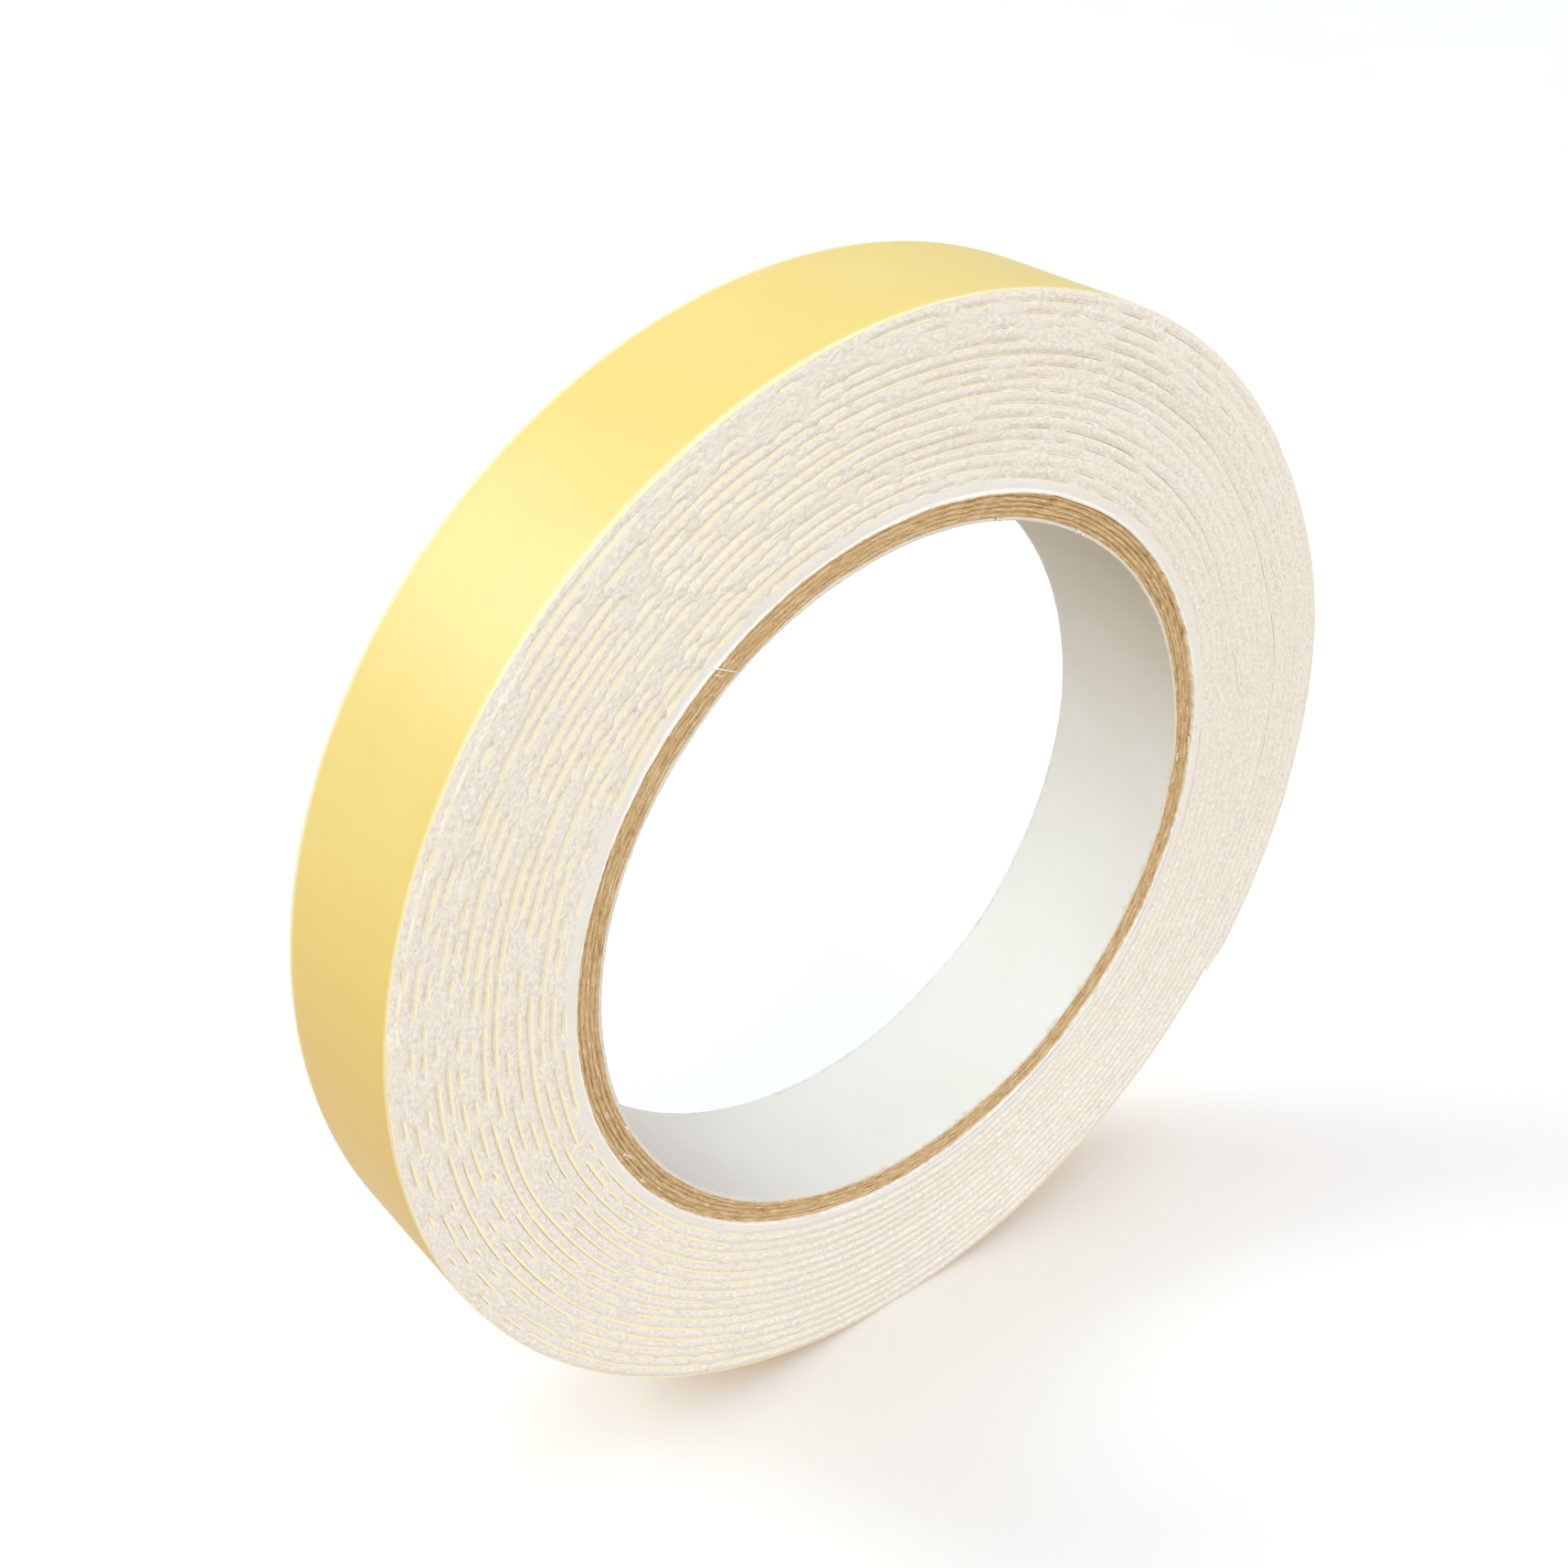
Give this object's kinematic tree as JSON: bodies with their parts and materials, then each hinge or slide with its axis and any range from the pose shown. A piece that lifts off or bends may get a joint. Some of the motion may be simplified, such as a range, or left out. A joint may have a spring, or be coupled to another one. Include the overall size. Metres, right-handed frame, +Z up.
{
  "type": "double-sided foam tape roll",
  "caption": "Roll of narrow white foam mounting tape with a yellow paper release liner, wound on a paper core whose open bore slips over a dispenser hub; the outer end lifts, the liner peels.",
  "frame": {"origin": "centre of the core's bore, at the middle of the tape's width", "axes": "+Y along the roll's axis, from the front face to the back; +Z up as the roll stands on its rim; +X to the right seen from the front, where the tape's free end lies"},
  "size_m": [0.1214, 0.018, 0.1202],
  "materials": {
    "white_paper": "matte",
    "kraft_paper": "matte",
    "foam": "matte",
    "adhesive": "gloss",
    "liner_paper": "satin"
  },
  "bodies": {
    "roll": {"bore_ply": "white_paper", "kraft_ply_1": "kraft_paper", "kraft_ply_2": "kraft_paper", "kraft_ply_3": "kraft_paper", "kraft_ply_4": "kraft_paper", "kraft_ply_5": "kraft_paper", "wrap_ply": "white_paper", "inner_adhesive": "adhesive", "foam_strip": "foam", "outer_adhesive": "adhesive", "release_liner": "liner_paper"},
    "tape_tail": {"tail_inner_adhesive": "adhesive", "tail_foam": "foam", "tail_outer_adhesive": "adhesive", "tail_liner": "liner_paper"},
    "flap": {"liner_flap": "liner_paper"}
  },
  "joints": [
    {"name": "tail_lift", "type": "hinge", "parent": "roll", "child": "tape_tail", "pos_m": [0.06091, 0, -0.00738], "axis": [0, -1, 0], "range_deg": [0, 70]},
    {"name": "liner_peel", "type": "hinge", "parent": "tape_tail", "child": "flap", "pos_m": [0.05918, 0, -0.0164], "axis": [0, -1, 0], "range_deg": [0, 110]}
  ]
}
